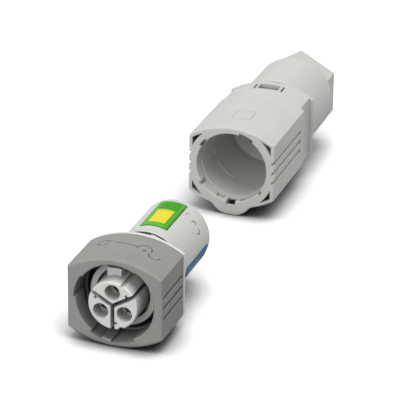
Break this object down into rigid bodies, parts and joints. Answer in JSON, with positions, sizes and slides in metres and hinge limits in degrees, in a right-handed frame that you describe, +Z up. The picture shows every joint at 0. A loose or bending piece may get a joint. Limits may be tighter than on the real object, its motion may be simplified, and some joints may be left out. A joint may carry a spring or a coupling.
{
  "type": "female installation connector",
  "caption": "Female installation connector opened for wiring: contact insert with locking ring and release levers, and its grip housing with cable gland.",
  "frame": {"origin": "centre of the bounding box at its bottom, on the surface the opened connector lies on", "axes": "+Y along the connector axis from the mating face to the cable, +Z up, +X to the right seen from the mating face"},
  "size_m": [0.04, 0.2524, 0.0421],
  "materials": {
    "grey_ring": "fine satin moulding",
    "light_grey": "fine satin moulding",
    "housing_grey": "fine satin moulding",
    "black_rubber": "matt",
    "seal_rubber": "matt",
    "earth_green": "satin",
    "earth_yellow": "satin",
    "neutral_blue": "satin",
    "line_grey": "satin",
    "contact_brass": "silver-plated, satin",
    "bar_copper": "tinned copper, satin",
    "spring_steel": "satin",
    "gland_plastic": "plain"
  },
  "bodies": {
    "insert": {"front_carrier": "light_grey", "terminal_block": "light_grey", "wire_guide": "light_grey", "housing_seal": "black_rubber", "mating_seal": "black_rubber", "socket_pe": "contact_brass", "current_bar_pe": "bar_copper", "clamp_spring_pe": "spring_steel", "socket_n": "contact_brass", "current_bar_n": "bar_copper", "clamp_spring_n": "spring_steel", "socket_l": "contact_brass", "current_bar_l": "bar_copper", "clamp_spring_l": "spring_steel"},
    "ring": {"locking_ring": "grey_ring"},
    "release_pe": {"lever_pe": "earth_green", "earth_marker": "earth_yellow"},
    "release_n": {"lever_n": "neutral_blue"},
    "release_l": {"lever_l": "line_grey"},
    "housing": {"grip_housing": "housing_grey", "cable_seal": "seal_rubber", "clamping_cage": "gland_plastic"},
    "thrust": {"thrust_ring": "gland_plastic"},
    "nut": {"gland_nut": "housing_grey"}
  },
  "joints": [
    {"name": "ring_turn", "type": "hinge", "parent": "insert", "child": "ring", "pos_m": [0, -0.11175, 0.02285], "axis": [0, 1, 0], "range_deg": [0, 30]},
    {"name": "press_pe", "type": "hinge", "parent": "insert", "child": "release_pe", "pos_m": [0, -0.07805, 0.03445], "axis": [-1, 0, 0], "range_deg": [0, 7], "stiffness_Nm_per_rad": 0.1},
    {"name": "press_n", "type": "hinge", "parent": "insert", "child": "release_n", "pos_m": [0.01005, -0.07805, 0.01705], "axis": [0.5, 0, 0.866], "range_deg": [0, 7], "stiffness_Nm_per_rad": 0.1},
    {"name": "press_l", "type": "hinge", "parent": "insert", "child": "release_l", "pos_m": [-0.01005, -0.07805, 0.01705], "axis": [0.5, 0, -0.866], "range_deg": [0, 7], "stiffness_Nm_per_rad": 0.1},
    {"name": "housing_slide", "type": "slide", "parent": "insert", "child": "housing", "axis": [0, -1, 0], "range_m": [0, 0.1164]},
    {"name": "thrust_slide", "type": "slide", "parent": "housing", "child": "thrust", "axis": [0, -1, 0], "range_m": [0, 0.0015]},
    {"name": "nut_turn", "type": "hinge", "parent": "thrust", "child": "nut", "pos_m": [0, 0.10465, 0.02285], "axis": [0, -1, 0], "range_deg": [0, 360]}
  ],
  "couplings": [
    {"joint": "thrust_slide", "follows": "nut_turn", "m_per_rad": 0.00023873}
  ]
}
